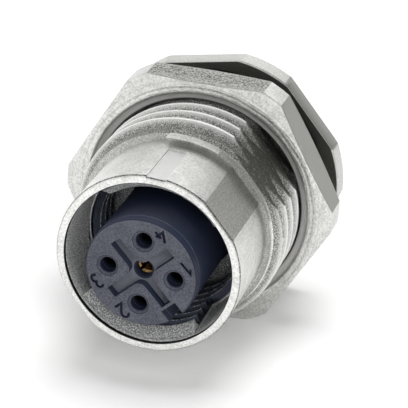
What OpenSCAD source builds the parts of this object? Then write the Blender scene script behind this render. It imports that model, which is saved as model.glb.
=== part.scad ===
// Female circular panel connector: a nickel-plated housing that is put through a panel from
// behind and held by a hexagon nut, with a moulded contact carrier and five sleeve contacts.
// The origin is the centre of the flange's panel face. The mating face looks towards -Y.

/* [Panel thread] */
// Outside diameter of the panel thread
thread_d = 16; // [15:0.1:17]
// Length of the panel thread, from the flange to the collar
thread_l = 10.1; // [8:0.1:14]
// Depth of the panel thread
thread_depth = 0.58; // [0.4:0.02:0.7]
// Pitch of the panel thread, whose turns are drawn as separate rings
thread_pitch = 1.5; // [1.25:0.05:2]
// Width of the turned relief between the flange and the thread, where the seal lies
relief_l = 0.6; // [0.4:0.1:1.2]
// Width across the two flats that stop the thread turning in the panel
panel_flats = 14.84; // [14.75:0.01:15.2]
// Direction of the flats round the axis, in degrees
flat_turn = 38.5; // [0:0.5:60]

/* [Collar] */
// Outside diameter of the plain collar in front of the thread
collar_d = 13.7; // [13.3:0.05:14]
// Length of the collar
collar_l = 6.6; // [5.5:0.1:9]
// Width across the collar's two flats
collar_flats = 13.3; // [13:0.05:13.6]
// Chamfer of the collar's front edge
rim_chamfer = 0.15; // [0.05:0.05:0.25]
// Width of the locating groove along the collar
groove_w = 1.45; // [0.8:0.05:2]
// Length of the locating groove
groove_l = 5.1; // [2:0.1:5.3]
// Depth of the locating groove
groove_depth = 0.14; // [0.05:0.01:0.25]
// Direction of the locating groove round the axis, in degrees
groove_turn = 85; // [75:1:125]

/* [Flange] */
// Width across the flange's hexagon
flange_af = 18.5; // [18.2:0.1:19.5]
// Diameter to which the hexagon's corners are turned
flange_d = 19.5; // [19:0.1:21]
// Thickness of the flange
flange_t = 1.8; // [1.5:0.1:3]
// Chamfer of the flange's turned corners
flange_chamfer = 0.12; // [0.05:0.01:0.2]
// Diameter of the seal's groove in the panel face
seal_groove_d = 17.4; // [17.2:0.1:17.8]
// Depth of the seal's groove
seal_groove_depth = 0.9; // [0.7:0.05:1]
// Thickness of the seal's round section
seal_section = 1.04; // [0.95:0.01:1.1]

/* [Hexagon nut] */
// Width across the nut's flats
nut_af = 19; // [18.5:0.1:20]
// Diameter to which the nut's corners are turned
nut_d = 21; // [20.5:0.1:21.5]
// Thickness of the nut
nut_t = 3; // [2:0.1:3.5]
// Diameter at which the nut's corner chamfer starts
nut_face_d = 18.7; // [18:0.1:19]
// Slope of the nut's corner chamfer, in degrees
nut_chamfer_angle = 17; // [10:1:30]
// Diameter of the countersink on each side of the nut
nut_sink_d = 17.5; // [16.8:0.1:18]
// Depth of that countersink
nut_sink_depth = 0.5; // [0.2:0.05:0.8]
// Distance from the flange to the nut, where the panel goes
panel_gap = 2.2; // [2.1:0.1:3]
// Direction of the nut's flats round the axis, in degrees
nut_turn = 27.8; // [0:0.1:60]

/* [Socket] */
// Nominal diameter of the thread inside the socket
socket_thread_d = 12; // [11.6:0.1:12]
// Pitch of the thread inside the socket
socket_pitch = 1; // [0.75:0.05:1.2]
// Depth of the socket from the rim to its floor
socket_depth = 8.7; // [8:0.1:9.5]
// Diameter of the socket's plain mouth
mouth_d = 12.46; // [12.2:0.02:12.6]
// Depth of the plain mouth
mouth_depth = 0.3; // [0.1:0.05:0.5]
// Depth at which the lead-in reaches the thread
lead_depth = 1.3; // [0.8:0.1:2]
// Diameter of the two recesses that interrupt the thread
recess_d = 12.4; // [12.1:0.02:12.6]
// Depth of those recesses from the rim
recess_depth = 4.9; // [3:0.1:6.5]
// Angle that each recess spans
recess_span = 90; // [60:1:110]
// Direction of the first recess round the axis, in degrees
recess_turn = 170; // [150:1:190]
// Thickness of the socket's floor
floor_t = 1; // [0.6:0.1:1.5]
// Diameter of the chamber behind the floor
chamber_d = 11.2; // [10.8:0.1:11.6]

/* [Contact carrier] */
// Diameter of the carrier's stem
stem_d = 8.24; // [8:0.02:8.4]
// Diameter of the carrier's neck, in the hole of the socket's floor
neck_d = 8.6; // [8.5:0.02:9]
// How far the carrier stands in front of the rim
face_proud = 1.34; // [0.5:0.02:2]
// Radius of the edge round the carrier's face
face_round = 0.12; // [0.05:0.01:0.2]
// Turn of the carrier round the axis, in degrees
carrier_turn = -4; // [-20:1:20]
// Diameter of the circle on which the four outer contacts stand
contact_circle = 4.95; // [4.8:0.01:5.1]
// Diameter of the holes for the mating pins
pin_hole_d = 1.2; // [1.16:0.02:1.3]
// How much narrower those holes are at the contact, from the taper of the mould's core pins
pin_hole_taper = 0.04; // [0.02:0.01:0.06]
// Diameter of the lead-in of those holes
pin_sink_d = 1.55; // [1.3:0.02:1.6]
// Depth of that lead-in
pin_sink_depth = 0.16; // [0.1:0.01:0.3]
// Width of the arms of the cross-shaped recess
cross_w = 0.86; // [0.7:0.02:1]
// Reach of those arms from the axis
cross_reach = 2.9; // [2.5:0.05:3.1]
// Depth of the cross-shaped recess
cross_depth = 0.7; // [0.4:0.05:1]
// Radius of the cross's inner corners
cross_round = 0.6; // [0.3:0.02:0.65]
// Width of the coding slot
key_w = 1.3; // [1:0.05:1.5]
// Distance from the axis to the bottom of the coding slot
key_bottom = 3.1; // [3:0.02:3.4]
// Length of the coding slot along the stem
key_l = 7.6; // [5:0.1:9]
// Thickness of the seal round the carrier
carrier_seal_section = 0.96; // [0.8:0.02:1]
// Height of that seal above the panel face
carrier_seal_y = 4.4; // [3.6:0.1:5]
// Thickness of the holder that closes the chamber behind the carrier
holder_t = 2.1; // [1.2:0.1:2.4]
// How far the holder stands inside the flange's rear face
holder_inset = 0.7; // [0.2:0.1:0.9]

/* [Contacts] */
// Bore of the contacts, for the mating pins
contact_bore_d = 1.02; // [0.98:0.01:1.08]
// Outside diameter of the contacts
contact_d = 1.8; // [1.6:0.02:1.9]
// Depth of a contact's mouth below the carrier's face
contact_mouth = 1.35; // [1.1:0.05:2]
// Depth of a contact's bore
contact_bore_l = 6; // [5:0.1:7]
// Width of the slits that let a contact spring
slit_w = 0.22; // [0.15:0.01:0.25]
// Length of those slits
slit_l = 4; // [3:0.1:5]
// Diameter of the shoulder that holds a contact in the carrier
shoulder_d = 2.2; // [2:0.02:2.3]
// Length of that shoulder
shoulder_l = 0.8; // [0.5:0.1:1.2]
// Diameter of a contact's shank, in the rear holder
shank_d = 1.3; // [1.2:0.02:1.6]
// Diameter of the solder tails
tail_d = 1; // [0.8:0.02:1.05]
// How far the tails stand behind the flange
tail_l = 4; // [2:0.1:10]

/* [Clearances] */
// Radial play of the nut on the thread
nut_play = 0.03; // [0.01:0.01:0.1]
// Radial play between pieces that are pushed together
fit_play = 0.02; // [0.01:0.01:0.05]
// Play between faces that seat on each other
seat_play = 0.01; // [0.005:0.005:0.03]

/* [Hidden] */
$fn = 96;

// how far a cutting shape runs past the face that it cuts
past = 1;
rim_y = thread_l + collar_l;
thread_r = thread_d / 2;
root_r = thread_r - thread_depth;
crest_w = thread_pitch / 8;
// half the width of a turn of the thread at its root, between flanks of 60 degrees
turn_half = crest_w / 2 + thread_depth * tan(30);
socket_r = socket_thread_d / 2 - 0.5413 * socket_pitch;
floor_y = rim_y - socket_depth;
chamber_y = floor_y - floor_t;
stem_r = stem_d / 2;
face_y = rim_y + face_proud;
carrier_r = chamber_d / 2 - fit_play;
holder_back_y = -flange_t + holder_inset;
holder_front_y = holder_back_y + holder_t;
carrier_back_y = holder_front_y + seat_play;
carrier_front_y = chamber_y - seat_play;
key_turn = carrier_turn - 45;
seal_ring_r = (root_r + seal_groove_d / 2) / 2;
seal_y = seat_play + seal_section / 2 - seal_groove_depth;
carrier_groove_r = chamber_d / 2 - carrier_seal_section - 2 * fit_play;
carrier_groove_l = carrier_seal_section * 1.3;
contact_tip_y = face_y - contact_mouth;
shoulder_front_y = carrier_back_y + shoulder_l;
tail_end_y = -flange_t - tail_l;
metal = "silver";
moulding = [0.2, 0.21, 0.25];
rubber = [0.1, 0.1, 0.1];
gilt = [0.86, 0.66, 0.26];

// What is made standing on the flange, with the mating face up, is laid along -Y.
module along_axis() {
    rotate([90, 0, 0]) children();
}

// a hexagonal prism whose first flat looks towards turn
module hexagon(af, y0, y1, turn) {
    translate([0, 0, y0])
        rotate(turn + 30)
            cylinder(d = af / cos(30), h = y1 - y0, $fn = 6);
}

// a slab that leaves two flats on a round body
module between_flats(width, y0, y1) {
    reach = 2 * thread_d;
    rotate(flat_turn)
        translate([-width / 2, -reach / 2, y0])
            cube([width, reach, y1 - y0]);
}

// the places of the four outer contacts, counted clockwise from the front, and the centre
function contact_place(k) =
    k == 5 ? [0, 0] : contact_circle / 2 * [cos(carrier_turn + 90 * (1 - k)), sin(carrier_turn + 90 * (1 - k))];

module at_contacts() {
    for (k = [1:5])
        translate(contact_place(k)) children();
}

// ---- housing ----

module flange_body() {
    r = flange_d / 2;
    c = flange_chamfer;
    intersection() {
        hexagon(flange_af, -flange_t, 0, flat_turn);
        rotate_extrude()
            polygon([
                [0, -flange_t], [r - c, -flange_t], [r, c - flange_t],
                [r, -c], [r - c, 0], [0, 0]
            ]);
    }
}

// the turns of the panel thread, as rings with flanks of 60 degrees
module thread_turns() {
    for (y = [relief_l + turn_half:thread_pitch:thread_l])
        polygon([
            [root_r - thread_depth, y - turn_half], [root_r, y - turn_half], [thread_r, y - crest_w / 2],
            [thread_r, y + crest_w / 2], [root_r, y + turn_half], [root_r - thread_depth, y + turn_half]
        ]);
}

module thread_body() {
    intersection() {
        union() {
            translate([0, 0, -past / 2])
                cylinder(r = root_r, h = thread_l + past / 2);
            rotate_extrude()
                intersection() {
                    thread_turns();
                    polygon([
                        [0, relief_l], [thread_r, relief_l], [thread_r, thread_l - thread_depth],
                        [root_r, thread_l], [0, thread_l]
                    ]);
                }
        }
        between_flats(panel_flats, -past, thread_l + past);
    }
}

module collar_body() {
    r = collar_d / 2;
    intersection() {
        rotate_extrude()
            polygon([
                [0, thread_l - past], [r, thread_l - past], [r, rim_y - rim_chamfer],
                [r - rim_chamfer, rim_y], [0, rim_y]
            ]);
        between_flats(collar_flats, thread_l - past, rim_y);
    }
}

module locating_groove() {
    rotate(groove_turn)
        translate([collar_d / 2 - groove_depth, -groove_w / 2, rim_y - groove_l])
            cube([groove_depth + past, groove_w, groove_l + past]);
}

// the socket's wall from its mouth to its floor, then the hole for the stem and the rear chamber
module housing_inside() {
    rotate_extrude()
        polygon([
            [0, rim_y + past], [mouth_d / 2, rim_y + past], [mouth_d / 2, rim_y - mouth_depth],
            [socket_r, rim_y - lead_depth], [socket_r, floor_y], [neck_d / 2 + fit_play, floor_y],
            [neck_d / 2 + fit_play, chamber_y], [chamber_d / 2, chamber_y],
            [chamber_d / 2, -flange_t - past], [0, -flange_t - past]
        ]);
}

// the two recesses in which the thread is milled away, so that a plug can be pushed in
module thread_recesses() {
    for (side = [0, 180])
        rotate(recess_turn + side - recess_span / 2)
            translate([0, 0, rim_y - recess_depth])
                rotate_extrude(angle = recess_span)
                    translate([stem_r, 0])
                        square([recess_d / 2 - stem_r, recess_depth + past]);
}

module seal_groove() {
    translate([0, 0, -seal_groove_depth])
        difference() {
            cylinder(d = seal_groove_d, h = seal_groove_depth + past / 4);
            translate([0, 0, -past])
                cylinder(r = root_r, h = seal_groove_depth + 2 * past);
        }
}

module housing() {
    color(metal)
        along_axis()
            difference() {
                union() {
                    difference() {
                        flange_body();
                        seal_groove();
                    }
                    thread_body();
                    collar_body();
                }
                locating_groove();
                housing_inside();
                thread_recesses();
            }
}

// ---- nut and seals ----

module hex_nut() {
    r = nut_d / 2;
    bore_r = thread_r + nut_play;
    slope = (r - nut_face_d / 2) * tan(nut_chamfer_angle);
    back_y = panel_gap;
    front_y = panel_gap + nut_t;
    color(metal)
        along_axis()
            difference() {
                intersection() {
                    hexagon(nut_af, back_y, front_y, nut_turn);
                    rotate_extrude()
                        polygon([
                            [0, back_y], [nut_face_d / 2, back_y], [r, back_y + slope],
                            [r, front_y - slope], [nut_face_d / 2, front_y], [0, front_y]
                        ]);
                }
                rotate_extrude()
                    polygon([
                        [0, back_y - past], [nut_sink_d / 2, back_y - past], [nut_sink_d / 2, back_y],
                        [bore_r, back_y + nut_sink_depth], [bore_r, front_y - nut_sink_depth],
                        [nut_sink_d / 2, front_y], [nut_sink_d / 2, front_y + past], [0, front_y + past]
                    ]);
            }
}

module ring(section, ring_r, y) {
    translate([0, 0, y])
        rotate_extrude()
            translate([ring_r, 0])
                circle(d = section, $fn = 32);
}

module flange_seal() {
    color(rubber)
        along_axis()
            ring(seal_section, seal_ring_r, seal_y);
}

module carrier_seal() {
    color(rubber)
        along_axis()
            ring(carrier_seal_section, chamber_d / 2 - fit_play - carrier_seal_section / 2, carrier_seal_y);
}

// ---- carrier ----

module carrier_body() {
    groove_y0 = carrier_seal_y - carrier_groove_l / 2;
    groove_y1 = carrier_seal_y + carrier_groove_l / 2;
    rotate_extrude()
        polygon([
            [0, carrier_back_y], [carrier_r, carrier_back_y], [carrier_r, groove_y0],
            [carrier_groove_r, groove_y0], [carrier_groove_r, groove_y1], [carrier_r, groove_y1],
            [carrier_r, carrier_front_y], [neck_d / 2, carrier_front_y], [neck_d / 2, floor_y],
            [stem_r, floor_y], [stem_r, face_y - face_round],
            [stem_r - face_round, face_y], [0, face_y]
        ]);
}

// the plan of the cross, with its four inner corners rounded
module cross_plan() {
    for (turn = [0, 90])
        rotate(turn)
            square([2 * cross_reach, cross_w], center = true);
    for (turn = [0:90:270])
        rotate(turn)
            translate([cross_w / 2, cross_w / 2])
                difference() {
                    square(cross_round);
                    translate([cross_round, cross_round])
                        circle(r = cross_round, $fn = 32);
                }
}

module face_cross() {
    translate([0, 0, face_y - cross_depth])
        rotate(carrier_turn + 45)
            linear_extrude(cross_depth + past)
                cross_plan();
}

module coding_slot() {
    rotate(key_turn)
        translate([key_bottom, -key_w / 2, face_y - key_l])
            cube([stem_r, key_w, key_l + past]);
}

// a hole for a mating pin, with its lead-in, opening at height top
module pin_hole(top) {
    rotate_extrude($fn = 48)
        polygon([
            [0, contact_tip_y], [(pin_hole_d - pin_hole_taper) / 2, contact_tip_y],
            [pin_hole_d / 2, top - pin_sink_depth], [pin_sink_d / 2, top],
            [pin_sink_d / 2, top + past], [0, top + past]
        ]);
}

// the stepped chamber that a contact is pushed into from behind
module contact_chamber() {
    chamber_r = contact_d / 2 + fit_play;
    shoulder_r = shoulder_d / 2 + fit_play;
    rotate_extrude($fn = 48)
        polygon([
            [0, carrier_back_y - past], [shoulder_r, carrier_back_y - past],
            [shoulder_r, shoulder_front_y + seat_play], [chamber_r, shoulder_front_y + seat_play],
            [chamber_r, contact_tip_y + seat_play], [0, contact_tip_y + seat_play]
        ]);
}

module contact_carrier() {
    color(moulding)
        along_axis()
            difference() {
                carrier_body();
                face_cross();
                coding_slot();
                for (k = [1:4])
                    translate(contact_place(k)) pin_hole(face_y);
                pin_hole(face_y - cross_depth);
                at_contacts() contact_chamber();
            }
}

module rear_holder() {
    color(moulding)
        along_axis()
            difference() {
                translate([0, 0, holder_back_y])
                    cylinder(r = carrier_r, h = holder_t);
                at_contacts()
                    translate([0, 0, holder_back_y - past])
                        cylinder(r = shank_d / 2 + fit_play, h = holder_t + 2 * past, $fn = 48);
            }
}

// ---- contacts ----

module contact(k) {
    bore_r = contact_bore_d / 2;
    barrel_r = contact_d / 2;
    bore_end_y = contact_tip_y - contact_bore_l;
    wall = barrel_r - bore_r;
    color(gilt)
        along_axis()
            translate(contact_place(k))
                difference() {
                    rotate_extrude($fn = 48)
                        polygon([
                            [0, tail_end_y], [tail_d / 2 - wall / 2, tail_end_y], [tail_d / 2, tail_end_y + wall],
                            [tail_d / 2, holder_back_y], [shank_d / 2, holder_back_y],
                            [shank_d / 2, carrier_back_y], [shoulder_d / 2, carrier_back_y],
                            [shoulder_d / 2, shoulder_front_y], [barrel_r, shoulder_front_y],
                            [barrel_r, contact_tip_y], [bore_r + wall / 3, contact_tip_y],
                            [bore_r, contact_tip_y - wall / 2], [bore_r, bore_end_y], [0, bore_end_y]
                        ]);
                    rotate(carrier_turn + 45)
                        translate([-contact_d, -slit_w / 2, contact_tip_y - slit_l])
                            cube([2 * contact_d, slit_w, slit_l + past]);
                }
}

module contact_1() { contact(1); }
module contact_2() { contact(2); }
module contact_3() { contact(3); }
module contact_4() { contact(4); }
module contact_5() { contact(5); }

housing();
hex_nut();
flange_seal();
contact_carrier();
carrier_seal();
rear_holder();
contact_1();
contact_2();
contact_3();
contact_4();
contact_5();
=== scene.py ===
import math
import bmesh
import bpy
import numpy as np
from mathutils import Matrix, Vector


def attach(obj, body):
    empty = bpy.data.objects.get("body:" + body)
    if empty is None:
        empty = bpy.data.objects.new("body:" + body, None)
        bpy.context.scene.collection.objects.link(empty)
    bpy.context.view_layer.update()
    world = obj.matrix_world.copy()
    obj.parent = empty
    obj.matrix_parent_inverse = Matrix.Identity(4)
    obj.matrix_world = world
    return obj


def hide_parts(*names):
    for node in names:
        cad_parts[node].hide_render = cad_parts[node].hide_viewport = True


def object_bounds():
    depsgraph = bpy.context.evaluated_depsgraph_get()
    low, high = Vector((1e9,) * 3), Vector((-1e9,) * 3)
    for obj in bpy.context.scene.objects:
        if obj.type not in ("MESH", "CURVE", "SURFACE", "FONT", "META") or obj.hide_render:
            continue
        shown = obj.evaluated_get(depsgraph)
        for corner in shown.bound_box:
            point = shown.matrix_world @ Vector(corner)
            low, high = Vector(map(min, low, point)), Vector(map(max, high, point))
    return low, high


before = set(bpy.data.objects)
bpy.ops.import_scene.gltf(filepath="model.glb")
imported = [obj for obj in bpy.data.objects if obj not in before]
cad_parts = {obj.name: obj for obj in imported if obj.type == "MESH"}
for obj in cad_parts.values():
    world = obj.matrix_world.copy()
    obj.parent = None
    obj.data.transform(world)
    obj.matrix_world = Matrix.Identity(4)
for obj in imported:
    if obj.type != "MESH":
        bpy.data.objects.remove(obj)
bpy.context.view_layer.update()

# ---- housing ----
# The housing is one turned and milled brass piece with a satin nickel plate: hexagon flange,
# panel thread with two milled flats, plain collar, and the socket with its interrupted thread.
# It goes through the panel from behind, and carries every other piece.
MM = 0.001
thread_l, thread_r, thread_depth, thread_pitch = 10.1, 8.0, 0.58, 1.5
root_r, flat_half, flat_turn = 7.42, 7.42, 38.5
collar_r, rim, collar_flat, rim_bevel = 6.85, 16.7, 6.65, 0.15
groove_turn, groove_w, groove_l, groove_floor = 85, 1.45, 5.1, 6.71
flange_t, flange_half, flange_r, flange_bevel = 1.8, 9.25, 9.75, 0.12
seal_groove_r, seal_groove_h, relief = 8.7, -0.9, 0.6
mouth_r, mouth_h, lead_h, socket_r, socket_root = 6.23, 16.4, 15.4, 5.459, 5.98
recess_r, recess_h, recess_turn, recess_half = 6.2, 11.8, 170, 45
floor_h, neck_r, chamber_h, chamber_r = 8.0, 4.32, 7.0, 5.6
sunk, beyond_all = 0.06, 20


def turned_off(angle, turn, step):
    """The angle measured from the nearest of the directions turn + k * step, in degrees."""
    return (angle - turn + step / 2) % step - step / 2


def flats(angle, radius, half, turn, step):
    """A round of that radius cut by planes at distance half: min(radius, half / cos(a)) for each plane."""
    off = np.radians(turned_off(angle, turn, step))
    return np.minimum(radius, half / np.maximum(np.cos(off), 0.1))


def edge_pairs(turn, step, half):
    """Where each flat or sector starts and ends: the angles turn + k * step, less half and plus half."""
    return [turn + step * k + side * half for k in range(360 // step) for side in (-1, 1)]


def angles_with(*edges):
    """Every whole degree round the axis, with a pair of near lines at each edge so that it stays sharp."""
    near = np.concatenate([[e - 0.02, e + 0.02] for e in edges])
    return np.unique(np.concatenate([np.arange(360), near % 360]))


def revolve(angle, rows):
    """Points of a section carried round the axis: row k at angle a is (r_k(a) cos a, -h_k, r_k(a) sin a)."""
    a = np.radians(angle)
    radius = np.stack([np.broadcast_to(r(angle) if callable(r) else float(r), angle.shape) for h, r in rows])
    height = np.repeat(np.array([h for h, r in rows])[:, None], len(angle), axis=1)
    return np.stack([radius * np.cos(a), -height, radius * np.sin(a)], axis=-1)


def quads(rows, cols, close_rows, close_cols):
    """The four corners of each cell of a grid of points, joined round where it closes."""
    i, j = np.meshgrid(np.arange(rows - (not close_rows)), np.arange(cols - (not close_cols)), indexing="ij")
    i2, j2 = (i + 1) % rows, (j + 1) % cols
    return np.stack([i * cols + j, i * cols + j2, i2 * cols + j2, i2 * cols + j], -1).reshape(-1, 4)


def outward(points, faces):
    """The faces turned so that the volume they enclose, the sum of p0.(p1 x p2) / 6, is positive."""
    p = points[faces]
    volume = sum(np.einsum("ij,ij->i", p[:, 0], np.cross(p[:, k], p[:, k + 1])).sum() for k in (1, 2))
    return faces if volume > 0 else faces[:, ::-1]


def ridge(turns_from, turns_to, height_at, profile, clip, edges, steps):
    """A thread ridge: the profile (radius, offset along the axis) carried along a helix of angle a and height_at(a)."""
    first, last = turns_from * 360, turns_to * 360
    near = np.array([360 * n + e + d for n in range(int(turns_from) - 1, int(turns_to) + 2)
                     for e in edges for d in (-0.03, 0.03)])
    near = near[(near > first) & (near < last)]
    a = np.unique(np.concatenate([np.arange(first, last, 360 / steps), [last], near]))
    radius, offset = np.array(profile).T
    r = radius + 0 * a[:, None]
    h = height_at(a)[:, None] + offset
    r = clip(r, h, a[:, None] + 0 * r, (a[:, None] - a[0]) / 360, (a[-1] - a[:, None]) / 360)
    t = np.radians(a)[:, None]
    return np.stack([r * np.cos(t), -h, r * np.sin(t)], axis=-1)


def solid(name, shells, sharp=26):
    """One mesh from closed grids of points: each cell becomes a face that points outwards.

    A grid whose rows don't close is a bar, and each of its ends is a fan round that end's middle.
    """
    points, faces, count = [], [], 0
    for grid, close_rows, close_cols in shells:
        n, m = grid.shape[:2]
        corners = grid.reshape(-1, 3)
        cells = quads(n, m, close_rows, close_cols)
        if not close_rows:
            k = np.arange(m)
            first, last = np.full(m, n * m), np.full(m, n * m + 1)
            cells = np.concatenate([cells, np.stack([(k + 1) % m, k, first, first], -1),
                                    np.stack([(n - 1) * m + k, (n - 1) * m + (k + 1) % m, last, last], -1)])
            corners = np.concatenate([corners, [corners[:m].mean(0), corners[-m:].mean(0)]])
        points.append(corners)
        faces.append(outward(corners, cells) + count)
        count += len(corners)
    faces = [list(dict.fromkeys(face)) for face in np.concatenate(faces).tolist()]
    mesh = bpy.data.meshes.new(name)
    mesh.from_pydata((np.concatenate(points) * MM).tolist(), [], faces)
    mesh.validate()
    mesh.shade_smooth()
    mesh.set_sharp_from_angle(angle=math.radians(sharp))
    piece = bpy.data.objects.new(name, mesh)
    bpy.context.scene.collection.objects.link(piece)
    return piece


def in_recess(angle):
    """True where the socket's thread is milled away: within recess_half of the middle of either recess."""
    return np.abs(turned_off(angle, recess_turn, 180)) < recess_half


def collar_round(cut):
    """The collar's section: its round and its two flats, each drawn in by the cut."""
    return lambda angle: flats(angle, collar_r - cut, collar_flat - cut, flat_turn, 180)


groove_half = math.degrees(math.atan(groove_w / 2 / collar_r))


def collar_grooved(cut):
    """The collar's section with its locating groove, whose flat floor is at groove_floor / cos(a)."""
    def at(angle):
        off = turned_off(angle, groove_turn, 360)
        floor = (groove_floor - cut) / np.cos(np.radians(np.clip(off, -30, 30)))
        return np.where(np.abs(off) < groove_half, floor, collar_round(cut)(angle))
    return at


def hex_flange(cut):
    """The flange's hexagon with its turned corners, drawn in by the cut, and by a third of it at the flats."""
    return lambda angle: flats(angle, flange_r - cut, flange_half - cut * 0.35, flat_turn, 60)


def by_sector(recessed, threaded):
    """One radius in the two recesses and another in the threaded sectors between them."""
    return lambda angle: np.where(in_recess(angle), recessed, threaded)


flange_corner = math.degrees(math.acos(flange_half / flange_r))
collar_corner = math.degrees(math.acos(collar_flat / collar_r))
housing_angles = angles_with(*edge_pairs(flat_turn, 60, flange_corner), *edge_pairs(flat_turn, 180, collar_corner),
                             *edge_pairs(groove_turn, 360, groove_half), *edge_pairs(recess_turn, 180, recess_half))
groove_start = rim - groove_l
housing_rows = [
    (-flange_t + 0.1, chamber_r), (-flange_t, chamber_r + 0.1), (-flange_t, hex_flange(flange_bevel)),
    (-flange_t + flange_bevel, hex_flange(0)), (-flange_bevel, hex_flange(0)), (0, hex_flange(flange_bevel)),
    (0, seal_groove_r), (seal_groove_h, seal_groove_r), (seal_groove_h, root_r), (relief, root_r),
    (thread_l - 0.05, root_r), (thread_l, root_r - 0.05), (thread_l, collar_round(0)),
    (groove_start, collar_round(0)), (groove_start + 0.01, collar_grooved(0)),
    (rim - rim_bevel, collar_grooved(0)), (rim - 0.04, collar_grooved(0.08)), (rim, collar_grooved(rim_bevel)),
    (rim, mouth_r + 0.05), (rim - 0.05, mouth_r), (mouth_h, mouth_r),
    (mouth_h - 0.03, by_sector(recess_r, mouth_r - 0.03)), (lead_h, by_sector(recess_r, socket_r)),
    (lead_h - 0.12, by_sector(recess_r, socket_r)), (lead_h - 0.4, by_sector(recess_r, socket_root)),
    (recess_h, by_sector(recess_r, socket_root)), (recess_h - 0.01, socket_root),
    (floor_h, socket_root), (floor_h, neck_r), (chamber_h, neck_r), (chamber_h, chamber_r)]

# Half of the panel ridge's section, from its rounded root up the flank to the narrow crest.
crest = 0.095
half_profile = [(root_r - sunk, 0.80), (root_r + 0.004, 0.70), (root_r + 0.05, 0.52), (root_r + 0.17, 0.37),
                (thread_r - 0.03, crest + 0.02), (thread_r, crest - 0.02)]
panel_profile = [(r, -w) for r, w in half_profile] + half_profile[::-1]
panel_from, panel_to, panel_h, panel_turn = -4.6, 1 + 95 / 360, 8.5, 80
run_in, run_out = 0.15, 0.012


def panel_clip(r, h, angle, from_start, to_end):
    """Clips the ridge to the two flats, to the bevel at the front end and to a run-in and run-out.

    Each limit is a radius, and the ridge's own radius gives way to the smallest of them.
    """
    flat = flats(angle, beyond_all, flat_half + 0.015, flat_turn, 180)
    bevel = np.where(h > thread_l - thread_depth, root_r + np.maximum(thread_l - h, -0.2), beyond_all)
    fade = root_r - sunk + (thread_depth + sunk) * np.clip(np.minimum(from_start / run_in, to_end / run_out), 0, 1)
    return np.maximum(np.minimum(np.minimum(np.minimum(r, flat), bevel), fade), root_r - 0.1)


def panel_height(angle):
    """The helix: panel_h at panel_turn, and one pitch further along for each turn."""
    return panel_h + thread_pitch * (angle - panel_turn) / 360


flat_edge = math.degrees(math.acos((flat_half + 0.015) / thread_r))
panel_ridge = ridge(panel_from, panel_to, panel_height, panel_profile, panel_clip,
                    edges=edge_pairs(flat_turn, 180, flat_edge), steps=200)

socket_from, socket_to, socket_h, socket_pitch = -6.15, 0.3, 14.55, 1.0
socket_profile = [(socket_root + sunk, -0.47), (socket_root, -0.43), (socket_r, -0.13), (socket_r, 0.13),
                  (socket_root, 0.43), (socket_root + sunk, 0.47)]


def socket_clip(r, h, angle, from_start, to_end):
    """Sinks the ridge into the wall where the recesses are milled, above their floor, and at both ends."""
    milled = in_recess(angle) & (h > recess_h)
    fade = socket_root + sunk - 0.6 * np.clip(np.minimum(from_start, to_end) / 0.1, 0, 1)
    return np.where(milled, recess_r + 0.08, np.maximum(r, fade))


socket_ridge = ridge(socket_from, socket_to, lambda angle: socket_h + socket_pitch * angle / 360,
                     socket_profile, socket_clip, edges=edge_pairs(recess_turn, 180, recess_half), steps=180)
housing = solid("housing_turned", [(revolve(housing_angles, housing_rows), True, True),
                                   (panel_ridge, False, True), (socket_ridge, False, True)])


class Sock:
    """A shader socket that Python's operators work on: an expression on values adds its Math nodes."""

    def __init__(self, tree, socket=None):
        self.tree, self.socket = tree, socket

    def node(self, kind, settings=None, *values, out=0, places=None, **named):
        """Adds a node of that type: its settings first, then its sockets' values or links, by order, number or name."""
        made = self.tree.nodes.new(kind)
        for key, value in (settings or {}).items():
            setattr(made, key, value)
        given = [*enumerate(values), *(places or {}).items(), *((k.replace("_", " "), v) for k, v in named.items())]
        for key, value in given:
            if isinstance(value, Sock):
                self.tree.links.new(value.socket, made.inputs[key])
            elif isinstance(value, tuple) and made.inputs[key].type == "RGBA":
                made.inputs[key].default_value = (*value, 1)
            else:
                made.inputs[key].default_value = value
        return Sock(self.tree, made.outputs[out])

    def math(self, operation, other=None, swap=False):
        """A Math node on this value and the other one, or on the other one first."""
        given = [other, self] if swap else [self, other]
        return self.node("ShaderNodeMath", {"operation": operation}, *[g for g in given if g is not None])

    def __add__(self, o): return self.math("ADD", o)
    def __radd__(self, o): return self.math("ADD", o)
    def __sub__(self, o): return self.math("SUBTRACT", o)
    def __rsub__(self, o): return self.math("SUBTRACT", o, swap=True)
    def __mul__(self, o): return self.math("MULTIPLY", o)
    def __rmul__(self, o): return self.math("MULTIPLY", o)
    def __pow__(self, o): return self.math("POWER", o)


def material(name, **constants):
    """A principled material with its constants on the shader's own sockets, and its Object coordinates."""
    made = bpy.data.materials.new(name)
    made.use_nodes = True
    tree = made.node_tree
    shader = tree.nodes["Principled BSDF"]
    for key, value in constants.items():
        shader.inputs[key.replace("_", " ")].default_value = value
    return made, shader, Sock(tree).node("ShaderNodeTexCoord", out="Object")


def noise(place, size, detail=3.0, roughness=0.6):
    """Noise with features of about that size in metres."""
    return place.node("ShaderNodeTexNoise", None, Vector=place, Scale=1 / size, Detail=detail, Roughness=roughness)


def rise(value, low, high):
    """0 below low, 1 above high, and a smooth step between them."""
    return value.node("ShaderNodeMapRange", {"interpolation_type": "SMOOTHSTEP"}, Value=value,
                      From_Min=low, From_Max=high)


def band(value, low, high, soft):
    """1 between low and high and 0 outside, with soft edges."""
    return rise(value, low - soft, low + soft) * (1 - rise(value, high - soft, high + soft))


def blend_colours(factor, first, second):
    """The first colour where the factor is 0 and the second where it is 1."""
    return factor.node("ShaderNodeMix", {"data_type": "RGBA"}, out=2, places={0: factor, 6: first, 7: second})


def bump(place, height, strength=1.0):
    """The normal of a surface raised by that height in metres."""
    return place.node("ShaderNodeBump", None, Strength=strength, Distance=1.0, Height=height)


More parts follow.
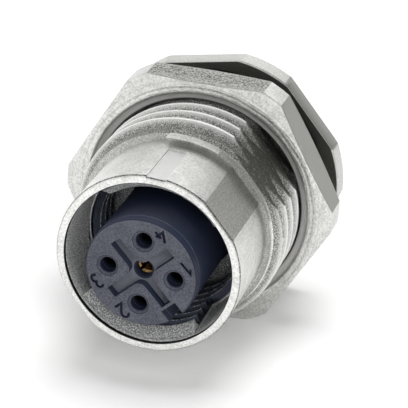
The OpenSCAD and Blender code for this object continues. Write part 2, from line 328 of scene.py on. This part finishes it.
def feed(shader, **links):
    """Links each value to the shader's socket of that name."""
    for key, value in links.items():
        value.tree.links.new(value.socket, shader.inputs[key.replace("_", " ")])


def split(place):
    """The three numbers of a place or a direction."""
    return [place.node("ShaderNodeSeparateXYZ", None, place, out=k) for k in range(3)]


def axis_parts(place):
    """In millimetres, the height along the axis, the radius from it and the two coordinates across it."""
    x, y, z = [part * (1 / MM) for part in split(place)]
    return y * -1, (x * x + z * z) ** 0.5, x, z


def along(x, z, turn):
    """The distance from the axis in the direction of that angle, in millimetres."""
    return x * math.cos(math.radians(turn)) + z * math.sin(math.radians(turn))


def nickel(name, rings, ring_depth, speckle_depth, light, dark, zones):
    """Satin nickel: cutter lines round the axis, an orange peel from the plating, cloudy tone, and zones of painted
    light and shade.

    zones gives (mask, colour, roughness) for each zone of painted shade, painted highlight or other finish, and last,
    for some, how matt it is.
    """
    made, shader, place = material(name)
    height, radius, x, z = axis_parts(place)
    wander = noise(place, 0.002) * 4
    lines = ((height + radius) * (2 * math.pi / rings) + wander).math("SINE")
    peel, grit, cloud = noise(place, 0.00017), noise(place, 0.00009, 2), noise(place, 0.0013)
    colour = blend_colours(rise(peel * 0.6 + grit * 0.25 + cloud * 0.3, 0.42, 0.72), dark, light)
    rough = 0.2 + peel * 0.16 + cloud * 0.08
    metal = 1.0
    for mask, tint, roughness, *matt in zones(height, radius, x, z, peel, grit):
        colour = blend_colours(mask, colour, tint)
        rough = rough + mask * (roughness - 0.3)
        for share in matt:
            metal = metal * (1 - mask * share)
    feed(shader, Base_Color=colour, Roughness=rough, Metallic=metal,
         Normal=bump(place, lines * ring_depth + peel * speckle_depth + grit * (speckle_depth * 0.4)))
    return made


# Colours of painted light and shade: a painted highlight white, a near black for painted shadow lines, and a dark grey
# for painted shade in gaps.
painted_highlight, shadowed, unlit = (0.97, 0.97, 0.96), (0.05, 0.05, 0.045), (0.12, 0.12, 0.11)


def housing_zones(height, radius, x, z, peel, grit):
    """Where the housing's colour differs, mostly painted shade and highlights: from the panel thread forward to the
    socket, and the flange behind.
    """
    spots = rise(grit, 0.44, 0.60)
    pits = 1 - spots
    from_flats = along(x, z, flat_turn).math("ABSOLUTE")
    across_groove = along(x, z, groove_turn + 90).math("ABSOLUTE")
    on_thread = band(height, relief, thread_l, 0.02)
    crest_highlight = rise(radius, thread_r - 0.06, thread_r - 0.02)
    thread_flat_shade = on_thread * rise(from_flats, flat_half - 0.10, flat_half - 0.04)
    on_collar = band(height, thread_l + 0.03, rim - 0.16, 0.02)
    collar_flat_shade = on_collar * rise(from_flats, collar_flat - 0.015, collar_flat - 0.004)
    groove_side = on_collar * rise(along(x, z, groove_turn), 5, 5.5) * rise(height, groove_start, groove_start + 0.03)
    groove_bed_light = groove_side * (1 - rise(across_groove, groove_w / 2 - 0.02, groove_w / 2))
    groove_edge_highlight = groove_side * band(across_groove, groove_w / 2 - 0.05, groove_w / 2 + 0.01, 0.01)
    on_flange = 1 - rise(height, 0.0, 0.05)
    flange_flat_shade = (1 - rise(height, -0.14, -0.1)) * rise(along(x, z, flat_turn), flange_half - 0.06, flange_half - 0.02)
    flange_face_shade = band(height, -0.02, 0.02, 0.01) * rise(radius, seal_groove_r - 0.02, seal_groove_r)
    rim_edge_shade = band(height, rim - rim_bevel - 0.02, rim - 0.06, 0.01) * rise(radius, mouth_r + 0.07, mouth_r + 0.17)
    mouth_edge_shade = rise(height, mouth_h - 0.02, mouth_h + 0.02) * band(radius, mouth_r - 0.03, mouth_r + 0.04, 0.01)
    inside = 1 - rise(radius, socket_root + 0.04, socket_root + 0.08)
    socket_thread_reflection = inside * band(height, floor_h, lead_h - 0.1, 0.05)
    socket_crest_glints = socket_thread_reflection * (1 - rise(radius, socket_r + 0.011, socket_r + 0.061))
    lead_in_light = inside * band(height, lead_h - 0.1, mouth_h, 0.02)
    recess_wall_light = band(radius, recess_r - 0.04, recess_r + 0.02, 0.01) * band(height, recess_h, mouth_h - 0.05, 0.02)
    return [
        # Painted shade in the panel thread's valleys, darkest in its pits, and a painted highlight along each ridge's
        # top.
        (on_thread * (1 - rise(radius, root_r + 0.03, thread_r - 0.05) * 0.5), (0.55, 0.55, 0.53), 0.42),
        (on_thread * pits * (1 - rise(radius, root_r + 0.18, thread_r - 0.05)), (0.20, 0.20, 0.185), 0.46),
        (on_thread * crest_highlight * 0.9, painted_highlight, 0.22, 0.6),
        (on_flange * (0.45 + 0.4 * pits), (0.50, 0.50, 0.475), 0.36),
        # Painted shade on the thread's two milled flats, with brighter specks in it.
        (thread_flat_shade, (0.150, 0.150, 0.136), 0.34),
        (thread_flat_shade * rise(peel, 0.56, 0.66), (0.34, 0.34, 0.32), 0.3),
        # Painted shade on the collar's two flats, speckled darker.
        (collar_flat_shade, (0.66, 0.66, 0.63), 0.42),
        (collar_flat_shade * pits, (0.44, 0.44, 0.41), 0.42),
        # Painted light on the locating groove's bed and a painted highlight along its two edges.
        (groove_bed_light * 0.8, (0.72, 0.73, 0.72), 0.34),
        (groove_edge_highlight, painted_highlight, 0.3),
        # Painted shade on the flange flat that faces up and to the right.
        (flange_flat_shade, (0.36, 0.36, 0.335), 0.38),
        # Painted shadow lines on the rim's outer bevel and round the socket's mouth.
        (rim_edge_shade * (0.45 + 0.55 * spots), shadowed, 0.4),
        (mouth_edge_shade, shadowed, 0.4),
        # A painted dark reflection of the moulding on the socket thread, with painted glints on its ridge tops.
        (socket_thread_reflection, (0.075, 0.085, 0.115), 0.3),
        (socket_crest_glints * spots, (0.75, 0.76, 0.76), 0.3),
        # Painted light on the lead-in land and on the recess walls, both speckled darker.
        (lead_in_light, painted_highlight, 0.5, 0.6),
        (lead_in_light * pits * 0.8, (0.16, 0.17, 0.17), 0.4),
        (recess_wall_light, (0.95, 0.96, 0.93), 0.55, 0.9),
        (recess_wall_light * pits, (0.40, 0.41, 0.39), 0.5),
        # Painted shade on the flange's face in the gap behind the nut.
        (flange_face_shade, unlit, 0.4)]


housing.data.materials.append(nickel("nickel_turned", 0.11, 0.0000012, 0.00005, (0.88, 0.88, 0.86),
                                     (0.58, 0.58, 0.555), housing_zones))
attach(housing, "connector")
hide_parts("housing")

# ---- seals ----
# Two black rubber rings: one lies in the flange's groove and is pressed by the panel, the other
# seals the carrier in its chamber. They are moulded, with a faint matt skin.
rubber, rubber_shader, rubber_place = material("seal_rubber", Specular_IOR_Level=0.4)
skin = noise(rubber_place, 0.00012)
feed(rubber_shader, Base_Color=blend_colours(skin, (0.012, 0.012, 0.013), (0.03, 0.03, 0.031)),
     Roughness=0.42 + skin * 0.25, Normal=bump(rubber_place, skin * 0.000008, 0.4))


def refinish(piece, made):
    """Gives a piece that material alone."""
    piece.data.materials.clear()
    piece.data.materials.append(made)


for ring in ("flange_seal", "carrier_seal"):
    refinish(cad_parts[ring], rubber)

# ---- contact carrier ----
# The carrier is moulded in dark slate polyamide, pushed into the housing from behind, and holds the
# contacts. Its face has the cross-shaped recess, the coding slot and the engraved contact numbers.
face_h, cross_deep, plug_r = 18.04, 0.7, 4.10
stroke_w, glyph_h, engraved, mitre_limit = 0.19, 1.05, 0.2, 0.45
up = np.array([0.67, -0.74]) / math.hypot(0.67, 0.74)
right = np.array([up[1], -up[0]])
arc = np.radians(np.linspace(160, -50, 9))
bowl = np.radians(np.linspace(140, -90, 9))
# Each figure's strokes (right, up) in parts of its height, then the direction and reach of its place on the face.
glyphs = {
    "1": [[(-0.2, 0.25), (0.05, 0.5), (0.05, -0.5)]],
    "2": [[*zip(0.27 * np.cos(arc), 0.23 + 0.27 * np.sin(arc)), (-0.28, -0.5), (0.3, -0.5)]],
    "3": [[*zip(0.25 * np.cos(bowl), 0.25 + 0.25 * np.sin(bowl))],
          [*zip(0.27 * np.cos(-bowl), -0.23 - 0.27 * np.sin(bowl))]],
    "4": [[(0.12, 0.5), (-0.3, -0.18), (0.34, -0.18)], [(0.12, 0.1), (0.12, -0.5)]]}
glyph_places = {"4": (64, 3.40), "1": (15.7, 3.44), "2": (247.8, 3.47), "3": (199.7, 3.42)}


def stroke(path, centre):
    """A groove cutter: a rectangle carried along a path on the face, mitred at its corners."""
    p = np.array(path) * glyph_h
    p = centre + p[:, :1] * right + p[:, 1:] * up
    step = np.diff(p, axis=0)
    step /= np.linalg.norm(step, axis=1)[:, None]
    before, after = np.vstack([step[:1], step]), np.vstack([step, step[-1:]])
    normal = np.stack([-(before + after)[:, 1], (before + after)[:, 0]], -1)
    normal /= np.linalg.norm(normal, axis=1)[:, None]
    side = stroke_w / 2 / np.maximum((normal * np.stack([-after[:, 1], after[:, 0]], -1)).sum(1), mitre_limit)
    left, other = p + normal * side[:, None], p - normal * side[:, None]
    deep, high = face_h - engraved, face_h + 0.2
    corners = [(left, deep), (other, deep), (other, high), (left, high)]
    return np.stack([np.stack([c[:, 0], np.full(len(c), -h), c[:, 1]], -1) for c, h in corners], axis=1)


carrier_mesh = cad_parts["contact_carrier"].data.copy()
carrier = bpy.data.objects.new("carrier_moulded", carrier_mesh)
bpy.context.scene.collection.objects.link(carrier)
merged = bmesh.new()
merged.from_mesh(carrier_mesh)
bmesh.ops.remove_doubles(merged, verts=merged.verts, dist=1e-7)
merged.to_mesh(carrier_mesh)
merged.free()
for figure, paths in glyphs.items():
    turn, reach = glyph_places[figure]
    centre = reach * np.array([math.cos(math.radians(turn)), math.sin(math.radians(turn))])
    for n, path in enumerate(paths):
        cutter = solid(f"cutter_{figure}_{n}", [(stroke(path, centre), False, True)])
        cut = carrier.modifiers.new("engrave", "BOOLEAN")
        cut.operation, cut.solver, cut.object = "DIFFERENCE", "EXACT", cutter
        bpy.context.view_layer.update()
        with_cut = bpy.data.meshes.new_from_object(carrier.evaluated_get(bpy.context.evaluated_depsgraph_get()))
        carrier.modifiers.clear()
        carrier.data = with_cut
        bpy.data.objects.remove(cutter)
carrier.data.shade_smooth()
carrier.data.set_sharp_from_angle(angle=math.radians(26))
moulding, moulding_shader, moulding_place = material("slate_moulding", Specular_IOR_Level=0.4)
moulding_height, moulding_radius, across_x, across_z = axis_parts(moulding_place)
grain = noise(moulding_place, 0.00009, 3)
flow = noise(moulding_place, 0.0016, 2)
eroded = rise(moulding_height, face_h - 0.03, face_h - 0.01)
lit_recess_floor = band(moulding_height, face_h - cross_deep - 0.015, face_h - cross_deep + 0.015, 0.004)
walls = (1 - rise(moulding_radius, plug_r - 0.04, plug_r)) * rise(moulding_height, 12, 13)
# The distance from the nearest pin hole: four stand on pin_circle at right angles, and the fifth is the middle one.
pin_circle, sink_r, hole_turn = 2.475, 0.775, -4
sideways, endways = [along(across_x, across_z, hole_turn + t).math("ABSOLUTE") for t in (0, 90)]
beyond = sideways.math("MAXIMUM", endways) - pin_circle
beside = sideways.math("MINIMUM", endways)
from_hole = ((beyond * beyond + beside * beside) ** 0.5).math("MINIMUM", moulding_radius)
sink_cone = (band(moulding_height, face_h - 0.16, face_h - 0.015, 0.01)
             * (1 - rise(from_hole, sink_r - 0.01, sink_r + 0.01)))
sink_shadow_line = (band(from_hole, sink_r - 0.03, sink_r + 0.035, 0.015)
             * rise(moulding_height, face_h - 0.05, face_h - 0.03))
# Painted shade: the face keeps its own tone, the recess floors and, mostly, the pin holes' countersinks take it too,
# and every other surface takes the dark shaded side tone; a painted shadow line rings each countersink.
shaded_side_tone = blend_colours(grain * 0.4 + flow * 0.6, (0.010, 0.014, 0.031), (0.018, 0.024, 0.048))
face_tone = blend_colours(rise(grain * 0.8 + flow * 0.2, 0.36, 0.64), (0.058, 0.062, 0.084), (0.130, 0.135, 0.165))
unshaded_share = (eroded + lit_recess_floor + sink_cone * 0.75).math("MINIMUM", 1.0) * (1 - sink_shadow_line * 0.8)
toned = blend_colours(unshaded_share, shaded_side_tone, face_tone)
# Painted light: the recess floors are made brighter still, against the shade they lie in.
feed(moulding_shader, Base_Color=blend_colours(lit_recess_floor * (1 - eroded) * 0.6, toned, (0.20, 0.21, 0.25)),
     Roughness=0.30 + (eroded + walls).math("MINIMUM", 1.0) * 0.36 + grain * 0.1,
     Normal=bump(moulding_place, grain * 0.00003 * (0.15 + eroded)))
for piece in (carrier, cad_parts["rear_holder"]):
    refinish(piece, moulding)
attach(carrier, "connector")
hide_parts("contact_carrier")

# ---- contacts ----
# Five sleeve contacts turned from copper alloy and plated with gold, each slit at its mouth so that
# it grips a pin, and drawn down to a solder tail behind. A shoulder holds each one in the carrier.
gold, gold_shader, gold_place = material("gold_plate", Metallic=1.0)
gold_height, gold_radius = axis_parts(gold_place)[:2]
gold_lines = (gold_height * (2 * math.pi / 0.09) + noise(gold_place, 0.001) * 3).math("SINE")
gold_tone = noise(gold_place, 0.0004)
# Painted shade: the mouths of the four outer contacts are darkened, and made rougher, as if shaded in their holes.
outer_mouth_shade = rise(gold_height, 14.5, 16.0) * rise(gold_radius, 1.2, 1.6)
gold_light = blend_colours(gold_tone, (0.85, 0.60, 0.30), (0.98, 0.82, 0.56))
feed(gold_shader, Base_Color=blend_colours(outer_mouth_shade, gold_light, (0.035, 0.024, 0.016)),
     Roughness=0.2 + gold_tone * 0.15 + outer_mouth_shade * 0.2, Normal=bump(gold_place, gold_lines * 0.000001, 0.4))
for k in range(1, 6):
    refinish(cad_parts[f"contact_{k}"], gold)

# ---- hexagon nut ----
# The nut is turned from hexagon bar: a countersink and cutter rings on each face, corners turned
# off to a slight cone, and plain bar flats. It screws on from the front and clamps the panel.
nut_half, nut_r, nut_back, nut_front, nut_turn = 9.5, 10.5, 2.2, 5.2, 27.8
nut_face_r, nut_sink_r, nut_sink, nut_bore = 9.35, 8.75, 0.5, 8.03
nut_slope, nut_edge = math.tan(math.radians(17)), 0.03
nut_rings = [(8.58, 8.63, 0.015), (9.16, 9.20, 0.015), (9.55, 9.58, 0.01)]
nut_corner = math.degrees(math.acos(nut_half / nut_r))
nut_angles = angles_with(*edge_pairs(nut_turn, 60, nut_corner))


def nut_side(cut):
    """The nut's hexagon with its turned corners, drawn in by the cut."""
    return flats(nut_angles, nut_r - cut, nut_half - cut, nut_turn, 60)


def nut_face(sign, y):
    """The rows of the face at height y, on the side of that sign: bore, countersink and flat ring."""
    return [(y - sign * nut_sink, nut_bore), (y, nut_sink_r), (y, nut_face_r)]


def cone_grid(sign, y):
    """Points from the flat ring out to the hexagon: radius runs from the ring to the side, height drops by the cone."""
    share = np.linspace(0, 1, 6)[1:, None]
    radius = np.vstack([nut_face_r + share * (nut_side(nut_edge) - nut_face_r)[None, :], nut_side(0)])
    height = y - sign * nut_slope * np.maximum(radius - nut_face_r, 0)
    height[-1] -= sign * nut_edge
    a = np.radians(nut_angles)
    return np.stack([radius * np.cos(a), -height, radius * np.sin(a)], axis=-1)


back_face, front_face = (-1, nut_back), (1, nut_front)
nut_grid = np.concatenate([revolve(nut_angles, nut_face(*back_face)), cone_grid(*back_face),
                           cone_grid(*front_face)[::-1], revolve(nut_angles, nut_face(*front_face))[::-1]])
nut = solid("nut_turned", [(nut_grid, True, True)], sharp=12)


def nut_zones(height, radius, x, z, peel, grit):
    """Where the nut's colour differs: painted shade on two bar flats, one also gritty, painted light in the
    countersink, a painted shadow at the bore's edge, cutter rings, and painted shade on the back face.
    """
    front = rise(height, nut_front - nut_sink, nut_front - nut_sink + 0.02)
    cuts = sum(band(radius, *ring) for ring in nut_rings)
    coarse_top_flat_shade, smooth = [rise(along(x, z, nut_turn + turn), nut_half - 0.05, nut_half - 0.01) for turn in (60, 0)]
    pits = rise(peel * 0.5 + grit * 0.5, 0.44, 0.56)
    streaks = rise((height * 2.2).math("SINE") * 0.1 + peel, 0.44, 0.60)
    countersink = front * (1 - rise(radius, nut_bore + 0.2, nut_sink_r + 0.15))
    bore_edge_shade = 1 - rise(radius, nut_bore + 0.03, nut_bore + 0.17)
    behind = 1 - rise(height, nut_back + 0.02, nut_back + 0.05)
    return [
        # Painted shade on the upward bar flat, which is also gritty with streaks, and on the flat facing up and to the
        # right.
        (coarse_top_flat_shade * 0.75, (0.42, 0.42, 0.40), 0.42),
        (coarse_top_flat_shade * pits * (0.55 + streaks * 0.45), (0.11, 0.11, 0.10), 0.42),
        (smooth, (0.33, 0.33, 0.305), 0.34),
        # Painted light in the front countersink, which is also made partly matt.
        (countersink * 0.95, (0.76, 0.76, 0.74), 0.32, 0.85),
        # A painted shadow at the bore's edge.
        (bore_edge_shade, shadowed, 0.4),
        (front * cuts * 0.8, (0.42, 0.42, 0.40), 0.35),
        # Painted shade on the back face, in the gap in front of the flange.
        (behind, unlit, 0.4)]


nut.data.materials.append(nickel("nickel_nut", 0.3, 0.000004, 0.00003, (0.76, 0.76, 0.74), (0.48, 0.48, 0.455),
                                 nut_zones))
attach(nut, "nut")
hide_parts("hex_nut")

# ---- floor, lamps and camera ----
# The connector lies on its nut on a white table in a light tent: even light from all round, a dark
# card on the right, a brighter panel behind, one soft lamp overhead and a weak one at the front right.
floor_z, floor_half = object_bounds()[0][2] - 0.00002, 2
floor_mesh = bpy.data.meshes.new("table_top")
floor_mesh.from_pydata([(x * floor_half, y * floor_half, floor_z) for x, y in ((-1, -1), (1, -1), (1, 1), (-1, 1))],
                       [], [(0, 1, 2, 3)])
floor = bpy.data.objects.new("table_top", floor_mesh)
bpy.context.scene.collection.objects.link(floor)


def ray(sock, kind):
    """1 for a ray of that kind and 0 for any other."""
    return sock.node("ShaderNodeLightPath", out=f"Is {kind} Ray")


paper, paper_shader, paper_place = material("table_white", Base_Color=(0.90, 0.90, 0.90, 1), Roughness=0.9,
                                            Emission_Strength=1.0)
paper_x, paper_y = split(paper_place)[:2]
# Painted shade: the table glows only for camera and mirror rays, weakly near the connector and more away from it, so
# the floor stays darker round the part.
far_off = rise((paper_x * paper_x + paper_y * paper_y) ** 0.5, 0.02, 0.12)
shown = (ray(paper_place, "Camera") + ray(paper_place, "Glossy")) * (0.12 + far_off * 0.5)
feed(paper_shader, Emission_Color=paper_place.node("ShaderNodeCombineXYZ", None, shown, shown, shown))
floor_mesh.materials.append(paper)


def lamp(name, place, turn, size, watts):
    """A round soft lamp at that place, turned by those angles in degrees about X, then Z, to face the connector."""
    data = bpy.data.lights.new(name, "AREA")
    data.shape, data.size, data.energy = "DISK", size, watts
    made = bpy.data.objects.new(name, data)
    bpy.context.scene.collection.objects.link(made)
    made.location = place
    made.rotation_euler = (math.radians(turn[0]), 0, math.radians(turn[1]))
    made.visible_glossy = False


lamp("top", (0.06, 0.03, 0.60), (6.5, 117), 0.40, 2.6)
lamp("key", (0.14, -0.19, 0.14), (58.2, 38.5), 0.18, 0.26)
world = bpy.data.worlds.new("studio")
bpy.context.scene.world = world
world.use_nodes = True
room = world.node_tree.nodes["Background"]
room.inputs["Color"].default_value = (1, 1, 1, 1)
air = Sock(world.node_tree)
toward = air.node("ShaderNodeTexCoord", out="Generated")
toward_x, toward_y, toward_z = split(toward)
camera_ray, glossy_ray = ray(air, "Camera"), ray(air, "Glossy")
card_dark, ceiling_dark, panel_bright, on_matt = 0.68, 0.2, 0.55, 0.42
card = rise(toward_x * 0.985 + toward_z * 0.174, 0.38, 0.54)
ceiling = rise(toward_z, 0.62, 0.88)
panel = rise(toward_y, 0.6, 0.8) * rise(toward_x, -0.5, -0.1) * (1 - rise(toward_x, 0.18, 0.36))
tent = 1.0 + panel * panel_bright - card * card_dark - (1 - card) * ceiling * ceiling_dark
level = camera_ray + (1 - camera_ray) * (glossy_ray * tent + (1 - glossy_ray) * (tent * on_matt))
world.node_tree.links.new(level.socket, room.inputs["Strength"])

camera_data = bpy.data.cameras.new("camera")
camera_data.lens, camera_data.sensor_width = 171.376, 36
camera_data.clip_start, camera_data.clip_end = 0.01, 10
camera = bpy.data.objects.new("camera", camera_data)
bpy.context.scene.collection.objects.link(camera)
camera.location = (0.03914, -0.132629, 0.061586)
camera.rotation_euler = [math.radians(a) for a in (65.097, -1.103, 17.326)]
bpy.context.scene.camera = camera
bpy.context.scene.view_settings.view_transform = "Standard"
